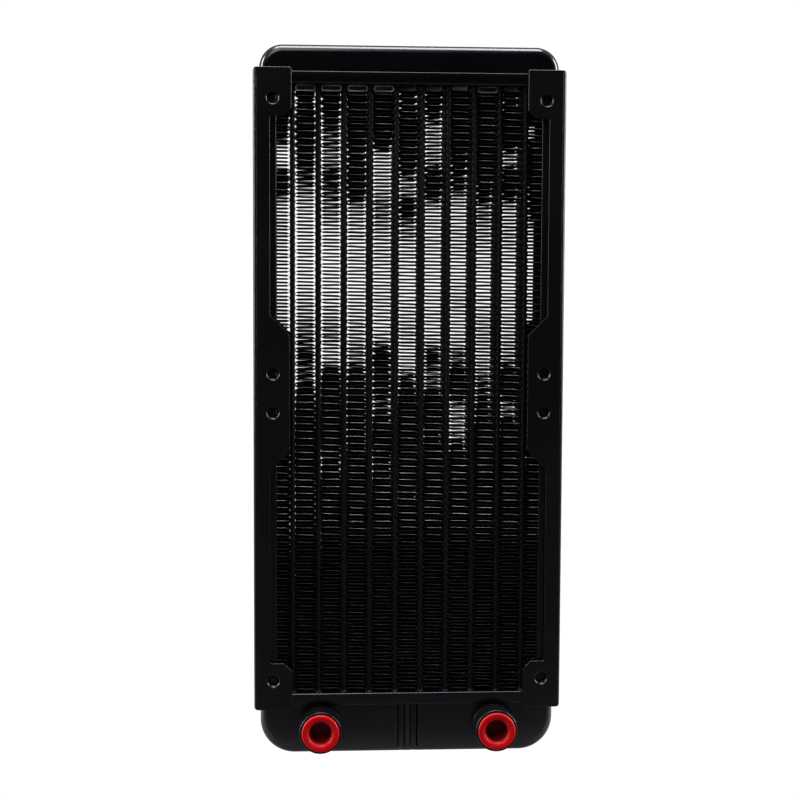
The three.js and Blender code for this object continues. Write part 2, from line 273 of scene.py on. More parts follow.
def turned_ring(bm, centre, radius, distance, segments=TURNED_SEGMENTS):
    """A ring about an axis that runs along -Y from centre, or one vertex where it has no radius."""
    if radius == 0:
        return [bm.verts.new(mm(centre[0], centre[1] - distance, centre[2]))]
    ring = []
    for k in range(segments):
        angle = math.tau * k / segments
        x = centre[0] + radius * math.cos(angle)
        z = centre[2] + radius * math.sin(angle)
        ring.append(bm.verts.new(mm(x, centre[1] - distance, z)))
    return ring


def lathe(bm, profile, centre, segments=TURNED_SEGMENTS):
    """A profile of (radius, distance) turned about an axis that runs along -Y from centre.

    It closes on itself, or on the axis where its ends have no radius."""
    rings = [turned_ring(bm, centre, radius, distance, segments) for radius, distance in profile]
    pairs = list(zip(rings, rings[1:]))
    if len(rings[0]) > 1:
        pairs.append((rings[-1], rings[0]))
    for a, b in pairs:
        for k in range(segments):
            j = (k + 1) % segments
            if len(a) == 1:
                bm.faces.new((a[0], b[j], b[k]))
            elif len(b) == 1:
                bm.faces.new((a[k], a[j], b[0]))
            else:
                bm.faces.new((a[k], a[j], b[j], b[k]))


def prism(bm, outline, low, high):
    """An outline in the XY plane, extruded from height low to height high."""
    rings = [[bm.verts.new(mm(x, y, z)) for x, y in outline] for z in (low, high)]
    bridge(bm, rings)
    bm.faces.new(rings[0][::-1])
    bm.faces.new(rings[1])


def piece_from(bm, name, material, body=ROOT, replaces=(), sharp=35, recalc=True):
    """Turns a bmesh into a piece that rides on a body."""
    if recalc:
        bmesh.ops.recalc_face_normals(bm, faces=bm.faces)
    mesh = bpy.data.meshes.new(name)
    bm.to_mesh(mesh)
    bm.free()
    for polygon in mesh.polygons:
        polygon.use_smooth = True
    mesh.set_sharp_from_angle(angle=math.radians(sharp))
    mesh.materials.append(material)
    piece = bpy.data.objects.new(name, mesh)
    bpy.context.scene.collection.objects.link(piece)
    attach(piece, body)
    if replaces:
        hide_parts(*replaces)
    return piece


def bevelled(piece, width=EDGE_BEVEL, segments=2):
    """Rounds a piece's sharp edges, so that they catch the light as real sheet edges do."""
    bevel = piece.modifiers.new("edges", "BEVEL")
    bevel.width = width * MM
    bevel.segments = segments
    bevel.limit_method = "ANGLE"
    bevel.angle_limit = math.radians(40)
    bevel.use_clamp_overlap = False
    normals = piece.modifiers.new("normals", "WEIGHTED_NORMAL")
    normals.keep_sharp = False
    normals.weight = 80
    return piece


def applied(piece, sharp=35):
    """Makes a piece's modifiers part of its mesh."""
    graph = bpy.context.evaluated_depsgraph_get()
    mesh = bpy.data.meshes.new_from_object(piece.evaluated_get(graph), depsgraph=graph)
    piece.modifiers.clear()
    piece.data = mesh
    for polygon in mesh.polygons:
        polygon.use_smooth = True
    mesh.set_sharp_from_angle(angle=math.radians(sharp))
    return piece


def cut(piece, cutter):
    """Cuts one mesh from another, and removes the cutter."""
    modifier = piece.modifiers.new("cut", "BOOLEAN")
    modifier.operation = "DIFFERENCE"
    modifier.solver = "EXACT"
    modifier.object = cutter
    applied(piece)
    bpy.data.objects.remove(cutter)


def helper_from(bm, name):
    """A cutter, which isn't a piece of the object."""
    bmesh.ops.recalc_face_normals(bm, faces=bm.faces)
    mesh = bpy.data.meshes.new(name)
    bm.to_mesh(mesh)
    bm.free()
    helper = bpy.data.objects.new(name, mesh)
    bpy.context.scene.collection.objects.link(helper)
    return helper


# ---- Materials ----

TANK_BLACK = ((0.0006, 0.0005, 0.0010), (0.0012, 0.0011, 0.0018))
SHEET_BLACK = ((0.0009, 0.0009, 0.0012), (0.0016, 0.0016, 0.0020))
TUBE_BLACK = ((0.0008, 0.0008, 0.0011), (0.0020, 0.0020, 0.0024))
BOSS_BLACK = ((0.0014, 0.0014, 0.0018), (0.0024, 0.0024, 0.0030))
FIN_DARK = (0.0080, 0.0080, 0.0088)
FIN_DUSTY = (0.022, 0.022, 0.023)
COATED_EDGE = (0.006, 0.006, 0.0066)
# partly painted glint: bright enough to stand in for light caught by the fin edges as well as scraped metal
SCRAPED_EDGE_AND_GLINT = (0.52, 0.52, 0.57)
RED_DEEP = (0.44, 0.0012, 0.003)
RED_BRIGHT = (0.53, 0.002, 0.0045)
# painted shade: the dark red that the plug's hollow fades to with depth
RED_PAINTED_SHADE = (0.2, 0.003, 0.004)
BARE_DARK = (0.62, 0.63, 0.64)
BARE_LIGHT = (0.78, 0.79, 0.80)


class Look:
    """A Principled material with the noise nodes that most finishes here share."""

    def __init__(self, name):
        self.material = bpy.data.materials.new(name)
        self.material.use_nodes = True
        self.tree = self.material.node_tree
        self.shader = self.tree.nodes["Principled BSDF"]
        self.coordinates = self.node("ShaderNodeTexCoord").outputs["Object"]

    def node(self, kind, **settings):
        node = self.tree.nodes.new(kind)
        for key, value in settings.items():
            setattr(node, key, value)
        return node

    def link(self, source, target):
        self.tree.links.new(source, target)

    def noise(self, scale, detail=3.0, roughness=0.55, stretch=None):
        noise = self.node("ShaderNodeTexNoise")
        noise.inputs["Scale"].default_value = scale
        noise.inputs["Detail"].default_value = detail
        noise.inputs["Roughness"].default_value = roughness
        source = self.coordinates
        if stretch:
            mapping = self.node("ShaderNodeMapping")
            mapping.inputs["Scale"].default_value = stretch
            self.link(source, mapping.inputs["Vector"])
            source = mapping.outputs["Vector"]
        self.link(source, noise.inputs["Vector"])
        return noise.outputs["Fac"]

    def ramp(self, factor, *stops):
        ramp = self.node("ShaderNodeValToRGB")
        elements = ramp.color_ramp.elements
        while len(elements) < len(stops):
            elements.new(0.5)
        for element, (position, colour) in zip(elements, stops):
            element.position = position
            element.color = (*colour, 1.0) if len(colour) == 3 else colour
        self.link(factor, ramp.inputs["Fac"])
        return ramp.outputs["Color"]

    def spread(self, factor, low, high, start=0.3, end=0.7):
        """Maps a factor from start..end onto low..high."""
        spread = self.node("ShaderNodeMapRange")
        spread.inputs["From Min"].default_value = start
        spread.inputs["From Max"].default_value = end
        spread.inputs["To Min"].default_value = low
        spread.inputs["To Max"].default_value = high
        self.link(factor, spread.inputs["Value"])
        return spread.outputs["Result"]

    def math(self, operation, a, b):
        node = self.node("ShaderNodeMath", operation=operation)
        for socket, value in zip(node.inputs, (a, b)):
            if isinstance(value, (int, float)):
                socket.default_value = value
            else:
                self.link(value, socket)
        return node.outputs["Value"]

    def bump(self, height, distance, strength=1.0, under=None):
        bump = self.node("ShaderNodeBump")
        bump.inputs["Distance"].default_value = distance
        bump.inputs["Strength"].default_value = strength
        self.link(height, bump.inputs["Height"])
        if under is not None:
            self.link(under, bump.inputs["Normal"])
        return bump.outputs["Normal"]

    def set(self, **values):
        """Numbers go on the shader's own sockets; anything else is linked."""
        for key, value in values.items():
            socket = self.shader.inputs[key.replace("_", " ")]
            if isinstance(value, (int, float, tuple)):
                socket.default_value = value
            else:
                self.link(value, socket)
        return self.material


# Lengths in the bump calls are in metres.


def black_paint(name, dark, light, gloss, peel=0.000012, shine=0.5):
    """Satin black coating: faint mottling, orange peel and a little dust."""
    look = Look(name)
    mottle = look.noise(38.0, detail=4.0)
    colour = look.ramp(mottle, (0.3, dark), (0.72, light))
    cloud = look.noise(11.0, detail=2.0)
    grain = look.noise(2600.0, detail=2.0)
    broad = look.spread(cloud, gloss - 0.04, gloss + 0.05)
    rough = look.math("ADD", broad, look.spread(grain, -0.015, 0.02))
    normal = look.bump(look.noise(420.0, detail=2.0, roughness=0.45), peel)
    normal = look.bump(grain, peel * 0.15, under=normal)
    return look.set(Base_Color=colour, Roughness=rough, Normal=normal, Specular_IOR_Level=shine, IOR=1.5)


def fin_paint():
    """Thin matt black coating on the fins, dusty and with worn patches."""
    look = Look("fin_paint")
    wear = look.noise(160.0, detail=4.0, roughness=0.65)
    colour = look.ramp(wear, (0.42, FIN_DARK), (0.8, FIN_DUSTY))
    normal = look.bump(look.noise(1400.0, detail=2.0), 0.00001)
    rough = look.spread(wear, 0.40, 0.52)
    return look.set(Base_Color=colour, Roughness=rough, Normal=normal, Specular_IOR_Level=0.2)


def fin_edge():
    """The cut edges of the fins, where the coating is scraped through to the metal in places; their bright
    colour is also a painted glint, brighter at the heights where the edges catch the light.
    """
    look = Look("fin_edge")
    split = look.node("ShaderNodeSeparateXYZ")
    look.link(look.coordinates, split.inputs["Vector"])
    top = SCRAPE_AND_GLINT_LEVELS[-1][0]
    level = look.spread(split.outputs["Z"], 0.0, 1.0, 0.0, top * MM)
    # scraping and painted glint, set by height: the edges are brightened where they catch the light and left
    # dark elsewhere
    wear = look.ramp(level, *((height / top, (much, much, much)) for height, much in SCRAPE_AND_GLINT_LEVELS))
    cloud = look.noise(150.0, detail=2.0, stretch=(1.0, 1.0, 2.5))
    patches = look.spread(cloud, 0.25, 1.0, 0.38, 0.62)
    mix = look.node("ShaderNodeMix", data_type="RGBA")
    look.link(look.math("MULTIPLY", wear, patches), mix.inputs["Factor"])
    mix.inputs["A"].default_value = (*COATED_EDGE, 1.0)
    mix.inputs["B"].default_value = (*SCRAPED_EDGE_AND_GLINT, 1.0)
    normal = look.bump(look.noise(2200.0, detail=2.0), 0.000008)
    rough = look.spread(patches, 0.5, 0.36)
    return look.set(Base_Color=mix.outputs["Result"], Roughness=rough, Normal=normal)


def red_plastic():
    """Moulded polyethylene: a deep red with slightly uneven gloss and fine mould grain, and painted shade
    that darkens its hollow with depth.
    """
    look = Look("red_plastic")
    flow = look.noise(120.0, detail=3.0)
    colour = look.ramp(flow, (0.3, RED_DEEP), (0.75, RED_BRIGHT))
    split = look.node("ShaderNodeSeparateXYZ")
    look.link(look.coordinates, split.inputs["Vector"])
    # painted shade: the red darkens with depth down the hollow, standing in for the shade there
    mouth = (box_mm("port_plug_left")[0].y + PAINTED_SHADE_START) * MM
    painted_shade = look.spread(split.outputs["Y"], 0.0, 0.85, mouth, mouth + HOLLOW_SHADE * MM)
    mix = look.node("ShaderNodeMix", data_type="RGBA")
    look.link(painted_shade, mix.inputs["Factor"])
    look.link(colour, mix.inputs["A"])
    mix.inputs["B"].default_value = (*RED_PAINTED_SHADE, 1.0)
    normal = look.bump(look.noise(1500.0, detail=3.0), 0.000012)
    return look.set(
        Base_Color=mix.outputs["Result"],
        Roughness=look.spread(flow, 0.36, 0.48),
        Normal=normal,
        Specular_IOR_Level=0.22,
        IOR=1.5,
    )


def bare_metal():
    """Rolled aluminium sheet, with fine lines along its height."""
    look = Look("bare_aluminium")
    lines = look.noise(900.0, detail=3.0, stretch=(1.0, 1.0, 0.05))
    colour = look.ramp(lines, (0.3, BARE_DARK), (0.7, BARE_LIGHT))
    normal = look.bump(lines, 0.00001)
    rough = look.spread(lines, 0.28, 0.42)
    return look.set(Base_Color=colour, Metallic=1.0, Roughness=rough, Normal=normal)


TANK_PAINT = black_paint("tank_paint", *TANK_BLACK, gloss=0.2, peel=0.000006)
SHEET_PAINT = black_paint("sheet_paint", *SHEET_BLACK, gloss=0.28, peel=0.000008, shine=0.4)
TUBE_PAINT = black_paint("tube_paint", *TUBE_BLACK, gloss=0.5, shine=0.15)
BOSS_PAINT = black_paint("boss_paint", *BOSS_BLACK, gloss=0.28, peel=0.000006)
FIN_PAINT = fin_paint()
FIN_EDGE = fin_edge()
RED = red_plastic()
BARE = bare_metal()

# ---- Core ----


def build_tubes():
    for i in range(1, TUBE_COUNT + 1):
        name = f"tube_{i:02d}"
        low, high = box_mm(name)
        bm = bmesh.new()
        rings = []
        for inset in (0.0, TUBE_WALL):
            outline = round_ended(middle_x(low, high), (high.x - low.x) / 2 - inset, high.y - inset)
            rings.append([[bm.verts.new(mm(x, y, z)) for x, y in outline] for z in (low.z, high.z)])
        outer, inner = rings
        bridge(bm, outer)
        bridge(bm, inner)
        bridge(bm, [outer[0], inner[0]])
        bridge(bm, [outer[1], inner[1]])
        piece_from(bm, f"flat_tube_{i:02d}", TUBE_PAINT, replaces=[name])


def wander(rng, count, reach, step):
    """A smooth random line of count values, with knots every step values."""
    knots = [rng.uniform(-reach, reach) for _ in range(count // step + 3)]
    values = []
    for i in range(count):
        knot, past = divmod(i / step, 1)
        knot = int(knot)
        share = smooth_step(0, 1, past)
        values.append(knots[knot] * (1 - share) + knots[knot + 1] * share)
    return values


def fin_folds(low, high, rng, boxed_end):
    """The strip's centreline, fold by fold, and the (start, end) points of its straight legs.

    Each point is (x from the middle, height, lean), and lean is how much higher the strip's back
    edge lies there than its front edge."""
    half_width = (high.x - low.x) / 2
    floor = CORE_MID - FIN_REACH
    ceiling = CORE_MID + FIN_REACH - (END_BOX if boxed_end else 0.0)
    folds = int((ceiling - floor) / FIN_PITCH)
    pitch = (ceiling - floor) / (folds + 0.7)
    drift = wander(rng, folds + 1, FOLD_DRIFT, FOLD_DRIFT_STEP)
    slack = wander(rng, folds + 1, LEAN_WANDER, LEAN_WANDER_STEP)
    points, legs = [], []
    for j in range(folds + 1):
        side = -1 if j % 2 else 1
        height = floor + (j + 0.35) * pitch + rng.uniform(-FOLD_JITTER, FOLD_JITTER) + drift[j]
        swell = pitch * rng.uniform(*FOLD_SWELL)
        splay = min(LEAN_LIMIT, max(-LEAN_LIMIT, (height - SPLAY_LEVEL) * SPLAY))
        moved = smooth_step(STRAIGHT_REACH, MOVED_REACH, abs(height - SPLAY_LEVEL))
        wandered = slack[j] * (CALM + (1 - CALM) * moved)
        lean = splay + wandered + rng.uniform(-LEAN_JITTER, LEAN_JITTER)
        reach = rng.uniform(*FOLD_REACH)
        for angle in (-90, -45, 0, 45, 90):
            turn = math.radians(angle)
            x = side * (half_width - reach + reach * math.cos(turn))
            points.append((x, height + swell * math.sin(turn) - TILT * x, lean))
            if angle == -90 and j:
                legs.append((points[-2], points[-1]))
    return points, legs


def add_strip(bm, points, middle, low, high):
    """The folded sheet itself, with its thickness."""
    rings = []
    for k, (x, z, lean) in enumerate(points):
        before, after = points[max(k - 1, 0)], points[min(k + 1, len(points) - 1)]
        along = Vector((after[0] - before[0], after[1] - before[1])).normalized()
        across = Vector((-along.y, along.x)) * (FIN_SHEET / 2)
        ring = []
        for y, side in ((low.y, 1), (high.y, 1), (high.y, -1), (low.y, -1)):
            rise = lean * (y - low.y) / (high.y - low.y) - lean / 2
            ring.append(bm.verts.new(mm(middle + x + side * across.x, y, z + rise + side * across.y)))
        rings.append(ring)
    bridge(bm, rings)
    bm.faces.new(rings[0])
    bm.faces.new(rings[-1][::-1])


def add_end_box(bm, middle, low, high):
    """The strip's last fold, pressed over on itself into a thick flat loop under the header."""
    width = (high.x - low.x) / 2 - END_BOX_GAP
    ceiling = CORE_MID + FIN_REACH
    rings = []
    for inset, y in ((0.0, low.y), (0.0, high.y), (END_BOX_WALL, high.y), (END_BOX_WALL, low.y)):
        sill, top = ceiling - END_BOX + inset, ceiling - inset
        outline = rounded_rectangle(0.0, width - inset, sill, top, END_BOX_CORNER - inset, 5)
        rings.append([bm.verts.new(mm(middle + x, y, z)) for x, z in outline])
    start = len(bm.faces)
    bridge(bm, [*rings, rings[0]])
    bm.faces.ensure_lookup_table()
    for face in bm.faces[start:]:
        depths = [vert.co.y for vert in face.verts]
        if max(depths) - min(depths) < 0.1 * MM:
            # the loop's front and back faces take the fin-edge colour, whose brightness is partly a painted
            # glint
            face.material_index = 1


def add_burrs(bm, legs, middle, low, high):
    """Slightly swollen cut edges on every second leg, front and back."""
    reach = (high.x - low.x) / 2 - BURR_MARGIN
    full = reach - BURR_TAPER
    swells = ((-reach, BURR_END_SWELL), (-full, BURR_SWELL), (full, BURR_SWELL), (reach, BURR_END_SWELL))
    for (x1, z1, lean1), (x2, z2, lean2) in legs[::2]:
        slope = (z2 - z1) / (x2 - x1)
        lean = (lean1 + lean2) / 2
        for y, out in ((low.y, -1), (high.y, 1)):
            rows = [[], [], []]
            for x, swell in swells:
                z = z1 + (x - x1) * slope + out * lean / 2
                rows[0].append(bm.verts.new(mm(middle + x, y - out * BURR_BACK, z - swell)))
                rows[1].append(bm.verts.new(mm(middle + x, y + out * BURR_PROUD, z)))
                rows[2].append(bm.verts.new(mm(middle + x, y - out * BURR_BACK, z + swell)))
            start = len(bm.faces)
            bridge(bm, rows if out > 0 else rows[::-1], closed=False)
            bm.faces.ensure_lookup_table()
            for face in bm.faces[start:]:
                # the burrs take the fin-edge colour: scraped metal and a painted glint
                face.material_index = 1


def add_louvres(bm, legs, middle, low, high):
    """Louvres pressed out of each leg: half of them open forwards and the other half backwards."""
    reach = (high.x - low.x) / 2 - LOUVRE_MARGIN
    depth = high.y - low.y
    full = reach - LOUVRE_TAPER
    stations = ((-reach, LOUVRE_END), (-full, 1.0), (full, 1.0), (reach, LOUVRE_END))
    for (x1, z1, lean1), (x2, z2, lean2) in legs:
        slope = (z2 - z1) / (x2 - x1)
        lean = (lean1 + lean2) / 2
        for k in range(LOUVRES):
            y = low.y + (k + 0.5) * depth / LOUVRES
            tip = LOUVRE_RISE / 2 if 2 * k < LOUVRES else -LOUVRE_RISE / 2
            rows = []
            for end in (-1, 1):
                edge = y + end * LOUVRE_WIDTH / 2
                rise = lean * ((edge - low.y) / depth - 0.5)
                row = []
                for x, opened in stations:
                    z = z1 + (x - x1) * slope + rise + end * tip * opened
                    row.append(bm.verts.new(mm(middle + x, edge, z)))
                rows.append(row)
            bridge(bm, rows, closed=False)


def build_fins():
    for i in range(1, FIN_COUNT + 1):
        name = f"fin_pack_{i:02d}"
        low, high = box_mm(name)
        middle = middle_x(low, high)
        points, legs = fin_folds(low, high, random.Random(STRIP_SEED + i), boxed_end=i in BOXED_ENDS)
        bm = bmesh.new()
        add_strip(bm, points, middle, low, high)
        if i in BOXED_ENDS:
            add_end_box(bm, middle, low, high)
        bmesh.ops.recalc_face_normals(bm, faces=bm.faces)
        add_louvres(bm, legs, middle, low, high)
        add_burrs(bm, legs, middle, low, high)
        strip = f"fin_strip_{i:02d}"
        piece = piece_from(bm, strip, FIN_PAINT, replaces=[name], sharp=50, recalc=False)
        piece.data.materials.append(FIN_EDGE)


def build_side_plates():
    for name, side in SIDES:
        low, high = box_mm(f"side_plate_{name}")
        outer, lip = max(abs(low.x), abs(high.x)), min(abs(low.x), abs(high.x))
        depth = high.y
        corners = [
            (side * outer, -depth, SIDE_PLATE_FOLD),
            (side * outer, depth, SIDE_PLATE_FOLD),
            (side * lip, depth, 0),
            (side * lip, depth - SHEET, 0),
            (side * (outer - SHEET), depth - SHEET, SIDE_PLATE_INNER_FOLD),
            (side * (outer - SHEET), -depth + SHEET, SIDE_PLATE_INNER_FOLD),
            (side * lip, -depth + SHEET, 0),
            (side * lip, -depth, 0),
        ]
        bm = bmesh.new()
        prism(bm, filleted(corners, 5), low.z, high.z)
        node = f"side_plate_{name}"
        bevelled(piece_from(bm, f"core_side_{name}", SHEET_PAINT, replaces=[node]))


# ---- Headers and tanks ----


def header_stations(name, end, face, rim):
    """(inset, height) along a header pan's section, from its face over the rim and down inside."""
    bend, soft = HEADER_BENDS[name]
    stations = []
    for step in range(7):
        turn = math.radians(15 * step)
        stations.append((bend * (1 - math.sin(turn)), face + end * bend * (1 - math.cos(turn))))
    for step in range(9):
        turn = math.radians(22.5 * step)
        inset = soft - soft * math.cos(turn) if step < 5 else SHEET - soft - soft * math.cos(turn)
        stations.append((inset, rim - end * (soft - soft * math.sin(turn))))
    stations.append((SHEET, face + end * (SHEET + HEADER_INNER_FOLD)))
    stations.append((SHEET + HEADER_INNER_FOLD, face + end * SHEET))
    return stations


def tube_slots(face, end):
    """A cutter for the slots that the tubes pass through a header in."""
    slots = bmesh.new()
    edge = face + end * 1.5 * SHEET
    for i in range(1, TUBE_COUNT + 1):
        low, high = box_mm(f"tube_{i:02d}")
        outline = round_ended(middle_x(low, high), TUBE_HALF_THICKNESS + SLOT_GAP, high.y + SLOT_GAP)
        prism(slots, outline, min(face - end, edge), max(face - end, edge))
    return helper_from(slots, "slots")


def build_headers():
    for name, end in (("top", 1), ("bottom", -1)):
        node = f"{name}_header"
        low, high = box_mm(node)
        face, rim = (low.z, high.z) if end > 0 else (high.z, low.z)
        bm = bmesh.new()
        rings = []
        for inset, z in header_stations(name, end, face, rim):
            half, near, far = high.x - inset, -high.y + inset, high.y - inset
            outline = rounded_rectangle(0.0, half, near, far, HEADER_CORNER - inset, 8)
            rings.append([bm.verts.new(mm(x, y, z)) for x, y in outline])
        bridge(bm, rings)
        bm.faces.new(rings[0])
        bm.faces.new(rings[-1])
        pan = piece_from(bm, f"header_pan_{name}", TANK_PAINT, replaces=[node])
        cut(pan, tube_slots(face, end))
        add_braze(name, face, end)


def add_braze(name, face, end):
    """The concave fillets of filler that run round each tube where it enters a header."""
    bm = bmesh.new()
    for i in range(1, TUBE_COUNT + 1):
        low, high = box_mm(f"tube_{i:02d}")
        rings = []
        for step in range(7):
            turn = math.radians(15 * step)
            spread = BRAZE_LIFT + BRAZE * (1 - math.cos(turn))
            height = face - end * BRAZE * (1 - math.sin(turn))
            outline = round_ended(middle_x(low, high), (high.x - low.x) / 2 + spread, high.y + spread)
            rings.append([bm.verts.new(mm(x, y, height)) for x, y in outline])
        bridge(bm, rings)
    piece_from(bm, f"braze_{name}", TUBE_PAINT)


def tank_outline(width, mouth, closed, inset):
    """The tank's front outline, from the mouth round the closed end and back to the mouth."""
    end = 1 if closed > mouth else -1
    corner = TOP_CORNER if end > 0 else BOTTOM_CORNER
    radius = corner - inset
    points = [(-width + inset, mouth)]
    for side in (-1, 1):
        for step in range(TANK_STEPS + 1):
            part = step / TANK_STEPS
            turn = math.radians(90) * (part if side < 0 else 1 - part)
            x = side * (width - corner + radius * math.cos(turn))
            points.append((x, closed - end * corner + end * radius * math.sin(turn)))
    points.append((width - inset, mouth))
    return points


def tank_skin(node, closed_up):
    """A tank's outer skin, open at the mouth."""
    low, high = box_mm(node)
    mouth, closed = (low.z, high.z) if closed_up else (high.z, low.z)
    stations = []
    for step in range(TANK_STEPS + 1):
        turn = math.radians(90) * step / TANK_STEPS
        stations.append((TANK_EDGE * (1 - math.sin(turn)), low.y + TANK_EDGE * (1 - math.cos(turn))))
    stations += [(inset, -y) for inset, y in reversed(stations)]
    bm = bmesh.new()
    rings = [
        [bm.verts.new(mm(x, y, z)) for x, z in tank_outline(high.x, mouth, closed, inset)]
        for inset, y in stations
    ]
    bridge(bm, rings, closed=False)
    bm.faces.new(rings[0])
    bm.faces.new(rings[-1])
    bmesh.ops.recalc_face_normals(bm, faces=bm.faces)
    return bm


def press_beads(bm):
    """Presses two vertical beads into the front and back walls, as far down as the bottom edge."""
    reach = BEAD_X + BEAD_HALF_WIDTH + 2 * BEAD_LIP_WIDTH
    columns = [-reach + 2 * reach * k / BEAD_COLUMNS for k in range(BEAD_COLUMNS + 1)]
    rows = [BEAD_ROW + BEAD_ROW * k for k in range(BEAD_ROWS)]
    cuts = [((x * MM, 0, 0), (1, 0, 0)) for x in columns]
    cuts += [((0, 0, z * MM), (0, 0, 1)) for z in rows]
    for place, normal in cuts:
        parts = bm.verts[:] + bm.edges[:] + bm.faces[:]
        bmesh.ops.bisect_plane(bm, geom=parts, plane_co=place, plane_no=normal, dist=1e-7)
    for vert in bm.verts:
        x, y, z = vert.co / MM
        if abs(x) > reach or abs(y) < TANK_WALL_Y:
            continue
        below = max(0.0, BEAD_END - z)
        away = math.hypot(abs(x) - BEAD_X, below)
        depth = BEAD_DEPTH * (1 - smooth_step(BEAD_FLOOR, BEAD_HALF_WIDTH, away))
        lip = BEAD_LIP * math.exp(-(((away - BEAD_HALF_WIDTH) / BEAD_LIP_WIDTH) ** 2))
        lip *= 1 - smooth_step(0.0, BEAD_END, below)
        vert.co.y -= math.copysign((depth - lip) * MM, y)


def build_tanks():
    for name, closed_up in (("top", True), ("bottom", False)):
        node = f"{name}_tank"
        bm = tank_skin(node, closed_up)
        if not closed_up:
            press_beads(bm)
            bmesh.ops.recalc_face_normals(bm, faces=bm.faces)
        piece = f"drawn_tank_{name}"
        tank = piece_from(bm, piece, TANK_PAINT, replaces=[node], recalc=False)
        wall = tank.modifiers.new("wall", "SOLIDIFY")
        wall.thickness = SHEET * MM
        wall.offset = -1
        applied(tank)
        if not closed_up:
            holes = bmesh.new()
            drill = [(0, -6), (PORT_HOLE, -6), (PORT_HOLE, 4), (0, 4)]
            for side_name, _ in SIDES:
                lathe(holes, drill, port_centre(side_name), PORT_HOLE_SEGMENTS)
            cut(tank, helper_from(holes, "port_holes"))
    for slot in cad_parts["partition_plate"].material_slots:
        slot.material = BARE


# ---- Rails ----


def flange_outline():
    """One flange of the right rail, seen from the front, up to where its fold begins."""
    half, slope = RAIL_HALF, FLANGE_EDGE - CENTRE_TAB_EDGE
    fold = RAIL_HIGH.x - RAIL_BEND
    upper = [
        (TAB_EDGE, half, 0.3),
        (TAB_EDGE, CORNER_TAB + TAB_CHAMFER, 0.8),
        (TAB_EDGE + TAB_CHAMFER, CORNER_TAB, 0.8),
        (FLANGE_EDGE, CORNER_TAB, 0.4),
        (FLANGE_EDGE, CENTRE_TAB + slope, 1.2),
        (CENTRE_TAB_EDGE, CENTRE_TAB, 1.2),
    ]
    lower = [(x, -z, radius) for x, z, radius in reversed(upper)]
    return filleted([*upper, *lower, (fold, -half, 0), (fold, half, 0)], 5)


def flange_skin(bm, side, face):
    """One flange of a rail, front (face -1) or back (1), with a dimple around each fan hole."""
    depth = RAIL_HIGH.y
    rim_radius = DIMPLE_PROFILE[0][0]

    def place(x, z):
        return (side * x, face * depth, CORE_MID + z)

    start = len(bm.edges)
    loop_of(bm, flange_outline(), place)
    turns = [math.tau * k / HOLE_SEGMENTS for k in range(HOLE_SEGMENTS)]
    circle = [(rim_radius * math.cos(turn), rim_radius * math.sin(turn)) for turn in turns]
    rims = []
    for z in FAN_HOLE_HEIGHTS:
        rims.append(loop_of(bm, [(FAN_HOLE_X + u, z + v) for u, v in circle], place))
    bm.edges.ensure_lookup_table()
    bmesh.ops.triangle_fill(bm, use_beauty=True, edges=bm.edges[start:])
    for z, rim in zip(FAN_HOLE_HEIGHTS, rims):
        rings = [rim]
        hole = mm(side * FAN_HOLE_X, face * depth, CORE_MID + z)
        flat = [vert.co - hole for vert in rim]
        for radius, sink in DIMPLE_PROFILE[1:]:
            centre = mm(side * FAN_HOLE_X, face * (depth - sink), CORE_MID + z)
            rings.append([bm.verts.new(centre + v * (radius / rim_radius)) for v in flat])
        bridge(bm, rings)


def rail_folds():
    """(x, y, half height) round the rail's two folds, from the front flange to the back one."""
    fold, depth = RAIL_HIGH.x - RAIL_BEND, RAIL_HIGH.y
    arcs = []
    for face in (-1, 1):
        arc = []
        for step in range(8):
            turn = math.radians(90) * step / 7
            x = fold + RAIL_BEND * math.sin(turn)
            past = max(0.0, x - (RAIL_HIGH.x - RAIL_CORNER))
            trim = RAIL_CORNER - math.sqrt(max(0.0, RAIL_CORNER**2 - past**2))
            arc.append((x, face * (depth - RAIL_BEND * (1 - math.cos(turn))), RAIL_HALF - trim))
        arcs.append(arc if face < 0 else arc[::-1])
    return [*arcs[0], *arcs[1]]


def rail_skin(side):
    """The outside of a folded rail: two flanges with dimpled holes, two folds and the web."""
    bm = bmesh.new()
    for face in (-1, 1):
        flange_skin(bm, side, face)
    columns = []
    for x, y, half in rail_folds():
        columns.append([bm.verts.new(mm(side * x, y, CORE_MID + z)) for z in (-half, half)])
    bridge(bm, columns, closed=False)
    bmesh.ops.remove_doubles(bm, verts=bm.verts, dist=1e-6)
    bmesh.ops.recalc_face_normals(bm, faces=bm.faces)
    web = max(bm.faces, key=lambda f: f.calc_area())
    if web.normal.x * side < 0:
        bmesh.ops.reverse_faces(bm, faces=bm.faces)
    return bm


def build_rails():
    for name, side in SIDES:
        bm = rail_skin(side)
        piece, node = f"folded_rail_{name}", f"rail_{name}"
        rail = piece_from(bm, piece, SHEET_PAINT, replaces=[node], recalc=False)
        wall = rail.modifiers.new("wall", "SOLIDIFY")
        wall.thickness = SHEET * MM
        wall.offset = -1
        wall.use_even_offset = True
        applied(rail)
        bevelled(rail)


# ---- Ports ----


def port_centre(name):
    """Where a port's axis meets the tank's front face, in millimetres."""
    low, high = box_mm(f"port_boss_{name}")
    return (middle_x(low, high), box_mm("bottom_tank")[0].y, (low.z + high.z) / 2)


def boss_outside(back, length):
    """(radius, distance) from a boss's spigot over the weld bead to the seat in its face."""
    return [
        (BOSS_SPIGOT, back),
        (BOSS_SPIGOT, 0.0),
        (8.7, 0.02),
        (8.68, 0.35),
        (8.56, 0.6),
        (8.42, 0.85),
        (8.28, 1.15),
        (BOSS_RADIUS, 1.6),
        (BOSS_RADIUS, length - 0.35),
        (8.17, length - 0.22),
        (8.1, length - 0.1),
        (7.98, length - 0.03),
        (7.85, length),
        (7.76, length - 0.03),
        (BOSS_SEAT_RADIUS, length - 0.1),
        (BOSS_SEAT_RADIUS, length - BOSS_SEAT_DEPTH),
        (BOSS_BORE + THREAD_DEPTH + 0.2, length - BOSS_SEAT_DEPTH),
    ]


